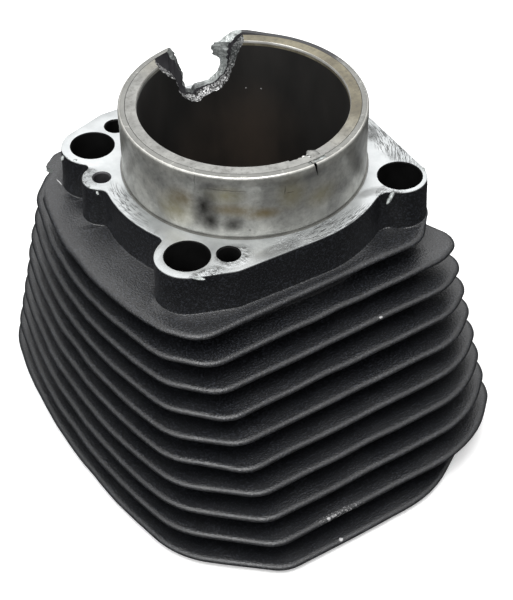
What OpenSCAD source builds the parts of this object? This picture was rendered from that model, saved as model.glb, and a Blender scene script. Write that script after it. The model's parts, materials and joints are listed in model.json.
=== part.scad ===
// Finned air-cooled cylinder barrel with an iron liner, standing on its head-gasket face.
// Origin on the bore axis at the head-gasket face, +Z towards the crankcase spigot, millimetres.
// X and Y run along the sides of the rectangle of stud holes.

/* [Bore and liner] */
// Diameter of the bore
bore_d = 88.9; // [70:0.1:120]
// Wall of the iron liner
liner_wall = 5; // [3:0.1:8]
// Depth of the lead-in chamfer where the piston enters
lead_in = 2; // [1:0.1:4]
// Width of the lead-in chamfer
lead_in_w = 0.8; // [0.3:0.1:2]

/* [Spigot] */
// Height of the spigot above the base flange
spigot_h = 31; // [20:0.5:45]
// Aluminium wall around the liner in the spigot
spigot_wall = 3; // [2:0.1:6]
// Chamfer on the outer edge of the spigot
spigot_chamfer = 1.2; // [0.5:0.1:1.8]

/* [Body] */
// Distance from the head-gasket face to the base flange
deck_h = 128; // [115:0.5:170]
// Width of the gasket land around the spigot
flange_land = 8.85; // [6:0.05:14]

/* [Stud holes and passages] */
// Diameter of the four stud holes
stud_hole_d = 18.7; // [14:0.1:23]
// Metal between the spigot and a stud hole
stud_gap = 5; // [3:0.1:10]
// Angle between the X axis and a stud hole
stud_angle = 40; // [36:0.5:45]
// Metal around the stud holes on the -X side
wide_boss_wall = 4.2; // [3:0.1:7]
// Metal around the stud holes on the +X side
slim_boss_wall = 2.3; // [1.5:0.1:6]
// Diameter of the two oil drain passages
oil_d = 9.1; // [5:0.1:11]
// Metal between the spigot and an oil passage
oil_gap = 5; // [3:0.1:8]
// Angle between the -X axis and an oil passage
oil_angle = 54.3; // [53:0.1:65]
// Metal around an oil passage
oil_boss_wall = 6.6; // [3:0.1:8]
// Diameter of the blind dowel hole in the base flange
dowel_d = 7.1; // [4:0.1:9]
// Depth of the blind dowel hole
dowel_depth = 12; // [6:0.5:20]
// Metal between the spigot and the dowel hole
dowel_gap = 5.4; // [3:0.1:8]
// Angle between the -X axis and the dowel hole
dowel_angle = 19.8; // [12:0.1:24]
// Metal around the dowel hole
dowel_boss_wall = 4.9; // [3:0.1:7]

/* [Fins] */
// Number of fins
fin_count = 10; // [6:1:11]
// Thickness of a fin
fin_t = 3; // [2:0.1:4]
// Distance from the base flange down to the middle of the first fin
first_fin = 20.4; // [15:0.1:24]
// Distance from the head-gasket face up to the middle of the last fin
last_fin = 2.75; // [2.2:0.05:8]
// How far the first and the last fin stand out past the flange radius on the -X side
left_reach = [21, 32.7]; // [10:0.1:45]
// How far the first and the last fin stand out past the flange radius on the two Y sides
side_reach = [5.9, 50.4]; // [3:0.1:60]
// Angle at which each Y side leans in towards the +X side
side_lean = 3.6; // [0:0.1:8]
// Radius of the bowed -X edge of the first and the last fin
bow_r = [160, 320]; // [120:1:400]
// How far up its Y side the bowed edge ends, past the flange radius, on the first and the last fin
bow_end = [-3.3, 22.7]; // [-8:0.1:30]
// How far from the bore axis, past the flange radius, a -X corner's cut starts on the first and last fin
cut_start = [-0.3, -14.3]; // [-20:0.1:2]
// How far the ears on the +X side stand out past the flange radius, near the first and the last fin
ear_reach = [8.9, 30]; // [5:0.1:40]
// Where along Y the ears' corners are, past the flange radius, near the first and the last fin
ear_place = [-2.4, 12]; // [-6:0.1:16]
// How far inside the flange radius an ear's cut starts
ear_cut = 3.3; // [1:0.1:8]
// How far the fins stand out past the flange radius between the ears
waist_reach = 3.2; // [2:0.1:5]
// How far the first fin, which has no ears, stands out past the flange radius on the +X side
first_right_reach = 1.3; // [1:0.1:3]
// How much nearer the bore axis than an ear's corner the last fin's corner is
last_ear_short = 7.3; // [0:0.1:12]
// How much nearer the bore axis than the other fins' the last fin's cut starts
last_cut_early = 27; // [0:0.1:30]

/* [Fracture] */
// Width of the piece broken out of the spigot
notch_w = 40; // [20:0.5:46]
// Height of spigot left below the fracture
notch_floor = 2.7; // [1:0.1:8]
// Direction of the fracture seen from above
notch_angle = 86.5; // [75:0.5:100]

/* [Hidden] */

// The fracture's edge: across as a share of its width, down as a share of its depth
NOTCH_EDGE = [
    [-0.5, 0], [-0.39, 0.28], [-0.26, 0.55], [-0.23, 0.75], [-0.15, 0.88], [0, 1],
    [0.13, 0.9], [0.26, 0.85], [0.36, 0.6], [0.44, 0.25], [0.5, 0]
];
// Steps on each rounded fin corner and on the bowed edge
CORNER_STEPS = 5;
BOW_STEPS = 10;
// How far a cutting tool runs past the face that it cuts
PAST = 1;
ROUND = 96;
// Corners of the first fin's +X edge and of the waist between the ears, as shares of the flange radius
FIRST_CORNER = 0.8;
FIRST_CUT = 0.82;
WAIST = 0.7;

liner_r = bore_d / 2 + liner_wall;
spigot_r = liner_r + spigot_wall;
flange_r = spigot_r + flange_land;
top_z = deck_h + spigot_h;
stud_r = stud_hole_d / 2;
stud_circle_r = spigot_r + stud_gap + stud_r;
oil_circle_r = spigot_r + oil_gap + oil_d / 2;
dowel_circle_r = spigot_r + dowel_gap + dowel_d / 2;
wide_boss_r = stud_r + wide_boss_wall;
slim_boss_r = stud_r + slim_boss_wall;
oil_boss_r = oil_d / 2 + oil_boss_wall;
dowel_boss_r = dowel_d / 2 + dowel_boss_wall;
notch_depth = spigot_h - notch_floor;
fin_pitch = (deck_h - first_fin - last_fin) / (fin_count - 1);

// Stud holes: one in each corner of a rectangle about the bore axis
stud_x = stud_circle_r * cos(stud_angle);
stud_y = stud_circle_r * sin(stud_angle);
oil_x = -oil_circle_r * cos(oil_angle);
oil_y = oil_circle_r * sin(oil_angle);
dowel_x = -dowel_circle_r * cos(dowel_angle);
dowel_y = dowel_circle_r * sin(dowel_angle);

function blend(a, b, t) = a + (b - a) * t;
function unit(v) = v / norm(v);
function direction(v) = atan2(v.y, v.x);
function turn(a) = a > 180 ? a - 360 : a < -180 ? a + 360 : a;

// Points along the arc that rounds corner p between points before and after it
function corner(before, p, after, r) =
    let (
        u = unit(before - p),
        v = unit(after - p),
        half = acos(u * v) / 2,
        centre = p + unit(u + v) * r / sin(half),
        start = direction(p + u * r / tan(half) - centre),
        sweep = turn(direction(p + v * r / tan(half) - centre) - start)
    )
    [for (i = [0 : CORNER_STEPS])
        centre + r * [cos(start + sweep * i / CORNER_STEPS), sin(start + sweep * i / CORNER_STEPS)]];

// A size that changes evenly from the first fin to the last, measured past the flange radius
function reach(pair, t) = flange_r + blend(pair[0], pair[1], t);

// The +Y half of a fin's outline, from the +X edge round to the middle of the bowed -X edge
function half_fin(k) =
    let (
        t = k / (fin_count - 1),
        first = k == 0,
        last = k == fin_count - 1,
        side = reach(side_reach, t),
        left = reach(left_reach, t),
        bow = blend(bow_r[0], bow_r[1], t),
        bow_y = reach(bow_end, t),
        bow_x = -left + bow - sqrt(bow * bow - bow_y * bow_y),
        cut_x = -reach(cut_start, t),
        ear = first ? flange_r + first_right_reach : reach(ear_reach, t) - (last ? last_ear_short : 0),
        ear_y = first ? FIRST_CORNER * flange_r : reach(ear_place, t),
        ear_cut_x = first ? FIRST_CUT * flange_r : flange_r - ear_cut - (last ? last_cut_early : 0),
        waist = [flange_r + waist_reach, WAIST * flange_r],
        right_start = first ? [ear, 0] : waist,
        right_corner = [ear, ear_y],
        right_cut = [ear_cut_x, side - ear_cut_x * tan(side_lean)],
        left_cut = [cut_x, side - cut_x * tan(side_lean)],
        left_corner = [bow_x, bow_y],
        sweep = asin(bow_y / bow)
    )
    concat(
        first ? [] : [waist],
        corner(right_start, right_corner, right_cut, 7),
        corner(right_corner, right_cut, left_cut, 10),
        corner(right_cut, left_cut, left_corner, 11),
        corner(left_cut, left_corner, [-left + bow * (1 - cos(sweep / 2)), bow_y / 2], blend(16, 34, t)),
        [for (i = [BOW_STEPS / 2 : -1 : 1])
            let (a = sweep * i / BOW_STEPS) [-left + bow * (1 - cos(a)), bow * sin(a)]]
    );

function mirror_y(points) = [for (i = [len(points) - 1 : -1 : 0]) [points[i].x, -points[i].y]];
function fin_outline(k) = concat(half_fin(k), mirror_y(half_fin(k)));

// Fills the straight side that is tangent to two circles, to the left of the line between them
module tangent_web(p, r, q, s) {
    span = norm(q - p);
    n = direction(q - p) + acos((r - s) / span);
    side = [cos(n), sin(n)];
    polygon([p, p + r * side, q + s * side, q]);
}

// The flange's outline: a round land with bosses for the studs, passages and dowel
module flange_plan() {
    circle(r = flange_r, $fn = ROUND);
    translate([dowel_x, dowel_y]) circle(r = dowel_boss_r, $fn = ROUND);
    for (flip = [0, 1]) mirror([0, flip]) {
        translate([-stud_x, stud_y]) circle(r = wide_boss_r, $fn = ROUND);
        translate([oil_x, oil_y]) circle(r = oil_boss_r, $fn = ROUND);
        translate([stud_x, stud_y]) circle(r = slim_boss_r, $fn = ROUND);
        tangent_web([-stud_x, stud_y], wide_boss_r, [oil_x, oil_y], oil_boss_r);
        tangent_web([oil_x, oil_y], oil_boss_r, [0, 0], flange_r);
        tangent_web([stud_x, stud_y], slim_boss_r, [0, 0], flange_r);
    }
}

module fins() {
    for (k = [0 : fin_count - 1])
        translate([0, 0, deck_h - first_fin - k * fin_pitch - fin_t / 2])
            linear_extrude(fin_t) polygon(fin_outline(k));
}

module spigot() {
    translate([0, 0, deck_h]) cylinder(r = spigot_r, h = spigot_h - spigot_chamfer, $fn = ROUND);
    translate([0, 0, top_z - spigot_chamfer])
        cylinder(r1 = spigot_r, r2 = spigot_r - spigot_chamfer, h = spigot_chamfer, $fn = ROUND);
}

// The broken-out piece of the spigot, cut straight through its wall
module fracture() {
    rotate([0, 0, notch_angle - 90])
        translate([0, spigot_r + PAST, top_z])
            rotate([90, 0, 0])
                linear_extrude(spigot_r + PAST)
                    polygon(concat(
                        [for (p = NOTCH_EDGE) [p.x * notch_w, -p.y * notch_depth]],
                        [[notch_w / 2, PAST], [-notch_w / 2, PAST]]
                    ));
}

module through_hole(x, y, d) {
    translate([x, y, -PAST]) cylinder(d = d, h = deck_h + 2 * PAST, $fn = ROUND);
}

module barrel_casting() {
    color("dimgray")
        difference() {
            union() {
                linear_extrude(deck_h) flange_plan();
                fins();
                spigot();
            }
            translate([0, 0, -PAST]) cylinder(r = liner_r, h = top_z + 2 * PAST, $fn = ROUND);
            for (sx = [-1, 1], sy = [-1, 1]) through_hole(sx * stud_x, sy * stud_y, stud_hole_d);
            for (sy = [-1, 1]) through_hole(oil_x, sy * oil_y, oil_d);
            translate([dowel_x, dowel_y, deck_h - dowel_depth])
                cylinder(d = dowel_d, h = dowel_depth + PAST, $fn = ROUND);
            fracture();
        }
}

module cylinder_liner() {
    color("darkkhaki")
        difference() {
            cylinder(r = liner_r, h = top_z, $fn = ROUND);
            translate([0, 0, -PAST]) cylinder(d = bore_d, h = top_z + 2 * PAST, $fn = ROUND);
            translate([0, 0, top_z - lead_in])
                cylinder(d1 = bore_d, d2 = bore_d + 2 * lead_in_w, h = lead_in, $fn = ROUND);
            fracture();
        }
}

barrel_casting();
cylinder_liner();
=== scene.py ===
"""Looks of a finned air-cooled cylinder barrel with a broken spigot.

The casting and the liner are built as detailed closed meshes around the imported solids, in millimetres,
and scaled to metres as they become objects.
"""
import json
import math

import bmesh
import bpy
import numpy as np
from mathutils import Matrix, Vector, noise


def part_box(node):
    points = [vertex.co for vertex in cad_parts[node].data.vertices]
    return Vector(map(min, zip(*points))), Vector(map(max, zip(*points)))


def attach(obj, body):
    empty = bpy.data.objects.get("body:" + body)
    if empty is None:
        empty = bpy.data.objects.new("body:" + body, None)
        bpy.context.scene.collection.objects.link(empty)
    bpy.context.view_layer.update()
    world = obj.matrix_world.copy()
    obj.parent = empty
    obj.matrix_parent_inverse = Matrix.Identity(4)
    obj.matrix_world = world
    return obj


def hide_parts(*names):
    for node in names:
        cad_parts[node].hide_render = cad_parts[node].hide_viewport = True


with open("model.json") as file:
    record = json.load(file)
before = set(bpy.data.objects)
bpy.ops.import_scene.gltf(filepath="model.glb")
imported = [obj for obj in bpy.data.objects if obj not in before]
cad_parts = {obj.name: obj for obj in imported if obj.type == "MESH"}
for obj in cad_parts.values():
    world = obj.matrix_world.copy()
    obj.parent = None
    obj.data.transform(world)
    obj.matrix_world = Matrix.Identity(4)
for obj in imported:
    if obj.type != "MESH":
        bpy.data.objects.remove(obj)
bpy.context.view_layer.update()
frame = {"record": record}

# ---------------- sizes, in millimetres
MM = 0.001
mounts = {m["name"]: m for m in frame["record"]["mounts"]}


def place(name):
    """A mount's position in millimetres."""
    return [c / MM for c in mounts[name]["pos_m"]]


BORE_R = mounts["bore"]["dims"]["r_mm"]
SPIGOT_R = mounts["spigot"]["dims"]["r_mm"]
STUD_R = mounts["stud_holes"]["dims"]["hole_r_mm"]
STUD_X = mounts["stud_holes"]["dims"]["spacing_x_mm"] / 2
STUD_Y = mounts["stud_holes"]["dims"]["spacing_y_mm"] / 2
OIL_R = mounts["oil_passage_back"]["dims"]["r_mm"]
OIL_X, OIL_Y, DECK = place("oil_passage_back")
DOWEL_R = mounts["dowel_hole"]["dims"]["r_mm"]
DOWEL_DEPTH = mounts["dowel_hole"]["dims"]["length_mm"]
DOWEL_X, DOWEL_Y, _ = place("dowel_hole")
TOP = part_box("cylinder_liner")[1].z / MM
LINER_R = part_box("cylinder_liner")[1].x / MM
FLANGE_WIDTH = 8.85
FLANGE_R = SPIGOT_R + FLANGE_WIDTH

# Metal around each hole in the flange
WIDE_BOSS_R = STUD_R + 4.2
SLIM_BOSS_R = STUD_R + 2.3
OIL_BOSS_R = OIL_R + 6.6
DOWEL_BOSS_R = DOWEL_R + 4.9

# Fins. A pair holds the first and the last fin's value. Reaches and places are measured from the
# flange's radius; WAIST, FIRST_CORNER and FIRST_CUT are shares of it.
FIN_COUNT = 10
FIRST_FIN = DECK - 20.4
LAST_FIN = 2.75
FIN_TIP = 1.4
FIN_ROOT = 2.2
LEFT_REACH = (21, 32.7)
SIDE_REACH = (5.9, 50.4)
SIDE_LEAN = 3.6
BOW_R = (160, 320)
BOW_END = (-3.3, 22.7)
BOW_POINTS = 6
CUT_START = (-0.3, -14.3)
EAR_REACH = (8.9, 30)
EAR_PLACE = (-2.4, 12)
EAR_CUT = 3.3
WAIST_REACH = 3.2
WAIST = 0.7
FIRST_RIGHT_REACH = 1.3
FIRST_CORNER = 0.8
FIRST_CUT = 0.82
LAST_EAR_SHORT = 7.3
LAST_CUT_EARLY = 27
WAIST_CORNER = 8
EAR_CORNER = (8, 18)
CUT_CORNER = (14, 60)
SIDE_CORNER = 15
LEFT_CORNER = (18, 40)


# ---------------- outlines
def blend(a, b, t):
    return a + (b - a) * t


def smooth(x, low, high):
    """0 below low, 1 above high, and a smooth rise between."""
    t = np.clip((x - low) / (high - low), 0, 1)
    return t * t * (3 - 2 * t)


def arc(centre, r, start, sweep, step=6):
    """Points along an arc. Angles are in degrees."""
    count = max(1, math.ceil(abs(sweep) / step))
    turns = [math.radians(start + sweep * i / count) for i in range(count + 1)]
    return [(centre[0] + r * math.cos(a), centre[1] + r * math.sin(a)) for a in turns]


def around(circles):
    """A closed outline round circles (x, y, r, join), counter-clockwise. join is the fillet's radius
    on the way to the next circle, or None for a straight side."""
    count = len(circles)
    leave, enter, between = [None] * count, [None] * count, [None] * count
    for i, (x, y, r, join) in enumerate(circles):
        after = (i + 1) % count
        nx, ny, nr, _ = circles[after]
        span = math.hypot(nx - x, ny - y)
        heading = math.degrees(math.atan2(ny - y, nx - x))
        if join is None:
            leave[i] = enter[after] = heading - math.degrees(math.acos((r - nr) / span))
            between[i] = []
            continue
        near, far = r + join, nr + join
        leave[i] = heading - math.degrees(math.acos((span**2 + near**2 - far**2) / (2 * span * near)))
        centre = (
            x + near * math.cos(math.radians(leave[i])),
            y + near * math.sin(math.radians(leave[i])),
        )
        enter[after] = math.degrees(math.atan2(centre[1] - ny, centre[0] - nx))
        between[i] = arc(centre, join, leave[i] + 180, -((leave[i] - enter[after]) % 360), 15)
    outline = []
    for (x, y, r, _), start, end, joint in zip(circles, enter, leave, between):
        outline += arc((x, y), r, start, (end - start) % 360) + joint
    return outline


def rounded(corners):
    """A closed outline of corners (x, y, r), each rounded to its radius."""
    outline = []
    for i, (x, y, r) in enumerate(corners):
        if not r:
            outline.append((x, y))
            continue
        p = Vector((x, y))
        u = (Vector(corners[i - 1][:2]) - p).normalized()
        v = (Vector(corners[(i + 1) % len(corners)][:2]) - p).normalized()
        half = u.angle(v) / 2
        centre = p + (u + v).normalized() * r / math.sin(half)
        start, end = (p + w * r / math.tan(half) - centre for w in (u, v))
        first = math.degrees(math.atan2(start.y, start.x))
        last = math.degrees(math.atan2(end.y, end.x))
        outline += arc(centre, r, first, (last - first + 180) % 360 - 180)
    return outline


def flange_outline():
    """The base flange's outline, with a boss round each hole."""
    ring = (0, 0, FLANGE_R)
    return around([
        (STUD_X, STUD_Y, SLIM_BOSS_R, 6),
        (*ring, None),
        (OIL_X, OIL_Y, OIL_BOSS_R, None),
        (-STUD_X, STUD_Y, WIDE_BOSS_R, 2.5),
        (DOWEL_X, DOWEL_Y, DOWEL_BOSS_R, 4),
        (*ring, 3.5),
        (-STUD_X, -STUD_Y, WIDE_BOSS_R, None),
        (OIL_X, -OIL_Y, OIL_BOSS_R, None),
        (*ring, 6),
        (STUD_X, -STUD_Y, SLIM_BOSS_R, None),
    ])


def fin_outline(k):
    """Fin k's outline, counter-clockwise. Fin 0 is next to the flange."""
    t = k / (FIN_COUNT - 1)
    first, last = k == 0, k == FIN_COUNT - 1

    def reach(pair):
        return FLANGE_R + blend(*pair, t)

    lean = math.tan(math.radians(SIDE_LEAN))
    side, left, bow, bow_y = reach(SIDE_REACH), reach(LEFT_REACH), blend(*BOW_R, t), reach(BOW_END)
    sweep = math.asin(bow_y / bow)
    cut_x = -reach(CUT_START)
    ear = FLANGE_R + FIRST_RIGHT_REACH if first else reach(EAR_REACH) - LAST_EAR_SHORT * last
    ear_y = FIRST_CORNER * FLANGE_R if first else reach(EAR_PLACE)
    ear_cut = FIRST_CUT * FLANGE_R if first else FLANGE_R - EAR_CUT - LAST_CUT_EARLY * last
    half = [] if first else [(FLANGE_R + WAIST_REACH, WAIST * FLANGE_R, WAIST_CORNER)]
    half += [
        (ear, ear_y, blend(*EAR_CORNER, t)),
        (ear_cut, side - ear_cut * lean, blend(*CUT_CORNER, t)),
        (cut_x, side - cut_x * lean, SIDE_CORNER),
        (-left + bow * (1 - math.cos(sweep)), bow_y, blend(*LEFT_CORNER, t)),
    ]
    for i in range(BOW_POINTS - 1, 0, -1):
        a = sweep * i / BOW_POINTS
        half.append((-left + bow * (1 - math.cos(a)), bow * math.sin(a), 0))
    mirrored = [(x, -y, r) for x, y, r in reversed(half)]
    return rounded(half + mirrored)


def turn_of(outline):
    """The outline's points as an array, and how far round each is, rising from the first."""
    p = np.array(outline)
    a = np.arctan2(p[:, 1], p[:, 0]) % (2 * math.pi)
    first = int(np.argmin(a))
    p = np.roll(p, -first, axis=0)
    a = np.maximum.accumulate(np.roll(a, -first))
    return np.vstack([p, p[:1]]), np.append(a, a[0] + 2 * math.pi)


def radii(outline):
    """The outline's distance from the bore axis in each of the mesh's directions."""
    p, a = turn_of(outline)
    i = np.searchsorted(a, np.where(TURN < a[0], TURN + 2 * math.pi, TURN), side="right") - 1
    i = np.clip(i, 0, len(a) - 2)
    side = p[i + 1] - p[i]
    across = p[i, 0] * side[:, 1] - p[i, 1] * side[:, 0]
    return across / (COS * side[:, 1] - SIN * side[:, 0])


# Directions round the bore axis at which the casting's skin has points, in degrees: even steps, and
# closer ones at the bosses and the burrs
BURR_TURNS = (-53, 148, 167)
BURR_SPAN = 4
BURR_STEP = 0.3
STEP = 1.15
CLOSEST = 0.18


def directions():
    even = np.radians(np.arange(0, 360, STEP))
    bosses = turn_of(flange_outline())[1][:-1]
    fine = [np.radians(np.arange(b - BURR_SPAN, b + BURR_SPAN, BURR_STEP)) for b in BURR_TURNS]
    turns = np.sort(np.concatenate([even, bosses, *fine]) % (2 * math.pi))
    kept = [turns[0]]
    for a in turns[1:]:
        if a - kept[-1] > math.radians(CLOSEST):
            kept.append(a)
    return np.array(kept)


TURN = directions()
COS, SIN = np.cos(TURN), np.sin(TURN)


# ---------------- meshes
WAVES = 5
FEWEST_CRESTS = 2
MOST_CRESTS = 23


def waves(seed):
    """A smooth random unevenness round the barrel, about -1 to 1."""
    random = np.random.default_rng(seed)
    total = np.zeros_like(TURN)
    for _ in range(WAVES):
        crests = random.integers(FEWEST_CRESTS, MOST_CRESTS)
        total += np.sin(crests * TURN + random.uniform(0, 2 * math.pi))
    return total / math.sqrt(WAVES)


def make_object(name, points, faces, material_index, materials):
    """An object from points in millimetres, with each face's index into the materials."""
    mesh = bpy.data.meshes.new(name)
    mesh.from_pydata([[c * MM for c in p] for p in points], [], faces)
    for m in materials:
        mesh.materials.append(m)
    mesh.polygons.foreach_set("material_index", np.array(material_index, np.int32))
    mesh.update()
    obj = bpy.data.objects.new(name, mesh)
    bpy.context.scene.collection.objects.link(obj)
    return obj


def skin(name, rings, kinds, materials):
    """A closed skin through rings of points, the last one joined to the first. kinds is the material of
    the strip that follows each ring."""
    grid = np.array(rings)
    count, around_count = grid.shape[:2]
    index = np.arange(count * around_count).reshape(count, around_count)
    below = np.roll(index, -1, axis=0)
    quads = np.stack([index, below, np.roll(below, -1, axis=1), np.roll(index, -1, axis=1)], axis=2)
    slots = np.repeat(kinds, around_count)
    faces = quads.reshape(-1, 4).tolist()
    return make_object(name, grid.reshape(-1, 3).tolist(), faces, slots, materials)


HOLE_SIDES = 96


def lathe(points, centre, material):
    """Points, faces and material indices of a turned solid. Its profile starts and ends on its axis."""
    inner = points[1:-1]
    turns = [2 * math.pi * i / HOLE_SIDES for i in range(HOLE_SIDES)]
    verts = [
        (centre[0] + r * math.cos(a), centre[1] + r * math.sin(a), z) for r, z in inner for a in turns
    ]
    faces = []
    for j in range(len(inner) - 1):
        for i in range(HOLE_SIDES):
            n = (i + 1) % HOLE_SIDES
            low, high = j * HOLE_SIDES, (j + 1) * HOLE_SIDES
            faces.append((low + i, low + n, high + n, high + i))
    start, end = len(verts), len(verts) + 1
    verts += [(centre[0], centre[1], points[0][1]), (centre[0], centre[1], points[-1][1])]
    top = (len(inner) - 1) * HOLE_SIDES
    for i in range(HOLE_SIDES):
        n = (i + 1) % HOLE_SIDES
        faces.append((start, n, i))
        faces.append((end, top + i, top + n))
    return verts, faces, [material] * len(faces)


def joined(solids):
    """Several (points, faces, material indices) as one."""
    points, faces, slots = [], [], []
    for more_points, more_faces, more_slots in solids:
        base = len(points)
        points += more_points
        faces += [tuple(base + i for i in f) for f in more_faces]
        slots += more_slots
    return points, faces, slots


def loft(sections, material):
    """A closed solid through sections of equally many points, with both ends capped."""
    count = len(sections[0])
    faces = []
    for j in range(len(sections) - 1):
        for i in range(count):
            n = (i + 1) % count
            faces.append((j * count + i, j * count + n, (j + 1) * count + n, (j + 1) * count + i))
    points = [tuple(p) for section in sections for p in section]
    faces.append(tuple(range(count)))
    faces.append(tuple(range(len(points) - count, len(points))))
    return points, faces, [material] * len(faces)


def combine(obj, solids, name, operation="DIFFERENCE"):
    """Cuts solids out of obj, or adds them to it, and keeps their materials."""
    tool = make_object(name, *joined(solids), list(obj.data.materials))
    solid = bmesh.new()
    solid.from_mesh(tool.data)
    bmesh.ops.triangulate(solid, faces=[f for f in solid.faces if len(f.verts) > 4])
    bmesh.ops.recalc_face_normals(solid, faces=solid.faces)
    solid.to_mesh(tool.data)
    solid.free()
    boolean = obj.modifiers.new(name, "BOOLEAN")
    boolean.operation = operation
    boolean.solver = "MANIFOLD"
    boolean.object = tool
    graph = bpy.context.evaluated_depsgraph_get()
    result = bpy.data.meshes.new_from_object(obj.evaluated_get(graph))
    obj.modifiers.remove(boolean)
    obj.data = result
    bpy.data.objects.remove(tool)


SHARPEST_SMOOTH = 32


def finish_shading(obj):
    """Smooth shading, but for edges that turn by more than a set angle."""
    obj.data.shade_smooth()
    obj.data.set_sharp_from_angle(angle=math.radians(SHARPEST_SMOOTH))


# ---------------- the fracture in the spigot
# Across the break: turn (degrees) and depth below the rim, at the bore and at the spigot's outside
BREAK = [
    (115, 0, 98, 0), (113.5, 2, 96.5, 2.7), (107.5, 8, 94, 6.7), (101.5, 12.5, 92.5, 12.5),
    (100, 17, 91, 17), (99, 20.5, 91.5, 20.5), (95.5, 24.5, 89.5, 25), (89, 28, 87.5, 26.5),
    (86.5, 28.3, 85.3, 23.6), (80, 25.5, 82, 23.6), (74, 24.5, 77.5, 23), (69.5, 20, 73.5, 20),
    (67.5, 16, 72, 17), (65.5, 11.5, 72.7, 13.3), (64.3, 9, 76, 10.7), (63.3, 7, 75.7, 5.8),
    (62, 4.5, 74.5, 4.9), (61, 2.5, 71.5, 4.4), (60.3, 1, 66.6, 1.3), (59.8, 0, 61.8, 0),
]
BREAK_STEP = 0.6
CHIP_STEP = 0.45
# Size and height of each layer of the broken metal's grain
ROUGH = ((2.6, 0.55), (1.0, 0.3))
# Share of the way out at which the casting's break begins, and the same on its right side
SEAT_SHARE = 0.75
RIGHT_SHARE = 0.35
# The break turns from its right side into its foot between these turns
RIGHT_SIDE = (66, 82)
# The solid that cuts the break out goes past the metal: upwards, at both radii and at its far end. It
# slants on past each radius for a share of the wall, and has no grain well above the rim.
BREAK_ABOVE = 5
BREAK_PAST = 1.2
BREAK_FAR = 14
SHARE_PAST = 0.2
CALM_ABOVE = 2
# Blender's vector noise is seeded from the clock unless a seed is set
GRAIN_SEED = 7
noise.seed_set(GRAIN_SEED)


def rough(point, amount):
    """A point moved by the grain of broken metal."""
    moved = Vector(point)
    for size, height in ROUGH:
        moved += noise.noise_vector(Vector(point) / size) * height * amount
    return moved


def break_path(share):
    """The break's edge as (turn, height), share of the way from the bore to the spigot's outside."""
    path = []
    # on its right the casting's break slopes back towards the liner's
    sloped = blend(RIGHT_SHARE, 1, (share - SEAT_SHARE) / (1 - SEAT_SHARE))
    for a, b, c, d in BREAK:
        squareness = 1 if share < SEAT_SHARE or share > 1 else smooth(a, *RIGHT_SIDE)
        seen = blend(sloped, share, squareness)
        path.append((blend(a, c, seen), TOP - blend(b, d, seen)))
    path = [(path[0][0], TOP + BREAK_ABOVE), *path, (path[-1][0], TOP + BREAK_ABOVE)]
    return np.array(path)


def break_solid(low_r, high_r, low_share, high_share, material):
    """The metal that is missing between two radii, as a solid to cut away."""
    middle = break_path((low_share + high_share) / 2)
    scale = math.radians(1) * (low_r + high_r) / 2
    steps = np.hypot(np.diff(middle[:, 0]) * scale, np.diff(middle[:, 1]))
    along = np.concatenate([[0], np.cumsum(steps)])
    samples = np.linspace(0, along[-1], int(along[-1] / BREAK_STEP))
    layers = [*np.arange(low_r - BREAK_PAST, high_r + BREAK_PAST, BREAK_STEP), high_r + BREAK_FAR]
    sections = []
    for r in layers:
        way = min(1 + SHARE_PAST, max(-SHARE_PAST, (r - low_r) / (high_r - low_r)))
        path = break_path(blend(low_share, high_share, way))
        turns = np.radians(np.interp(samples, along, path[:, 0]))
        heights = np.interp(samples, along, path[:, 1])
        sections.append([
            rough((r * math.cos(a), r * math.sin(a), z), 1 if z < TOP + CALM_ABOVE else 0)
            for a, z in zip(turns, heights)
        ])
    return loft(sections, material)


def sector(turns, reaches, heights, amount, material):
    """A rough block between two turns (degrees), two distances from the axis and two heights."""
    middle = sum(reaches) / 2
    count = max(2, round(math.radians(turns[1] - turns[0]) * middle / CHIP_STEP))
    rs = np.linspace(*reaches, max(2, round((reaches[1] - reaches[0]) / CHIP_STEP)))
    zs = np.linspace(*heights, max(2, round((heights[1] - heights[0]) / CHIP_STEP)))
    outline = [(r, zs[0]) for r in rs] + [(rs[-1], z) for z in zs[1:]]
    outline += [(r, zs[-1]) for r in rs[-2::-1]] + [(rs[0], z) for z in zs[-2:0:-1]]
    sections = []
    for a in np.radians(np.linspace(*turns, count)):
        sections.append([rough((r * math.cos(a), r * math.sin(a), z), amount) for r, z in outline])
    return loft(sections, material)


LUMP_SLICES = 12
LUMP_SIDES = 18


def lump(turn, reach, height, size, amount, material):
    """A rough rounded lump. size is half its width round the barrel, half its depth and half its height."""
    out = Vector((math.cos(math.radians(turn)), math.sin(math.radians(turn)), 0))
    side = Vector((-out.y, out.x, 0))
    centre = out * reach + Vector((0, 0, height))
    sections = []
    for i in range(1, LUMP_SLICES):
        a = math.pi * i / LUMP_SLICES
        across = centre - side * size[0] * math.cos(a)
        section = []
        for j in range(LUMP_SIDES):
            b = 2 * math.pi * j / LUMP_SIDES
            round_slice = out * size[1] * math.cos(b) + Vector((0, 0, size[2] * math.sin(b)))
            section.append(rough(across + round_slice * math.sin(a), amount))
        sections.append(section)
    return loft(sections, material)


# ---------------- materials
# Colours are linear. A material's pair of tones is the darker and the lighter one of its patches.
# A mark is a centre and half-widths in millimetres.
MIDDLE = (0.3, 0.7)
RAGGED_SCALE = 500.0


def new_material(name):
    """A material with its node tree and its shader."""
    material = bpy.data.materials.new(name)
    material.use_nodes = True
    return material, material.node_tree, material.node_tree.nodes["Principled BSDF"]


def add(tree, kind, inputs=None, **settings):
    """A shader node with its settings, and its inputs set to values or linked to sockets."""
    made = tree.nodes.new("ShaderNode" + kind)
    for key, value in settings.items():
        setattr(made, key, value)
    for key, value in (inputs or {}).items():
        if isinstance(value, bpy.types.NodeSocket):
            tree.links.new(value, made.inputs[key])
        else:
            made.inputs[key].default_value = value
    return made


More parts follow.
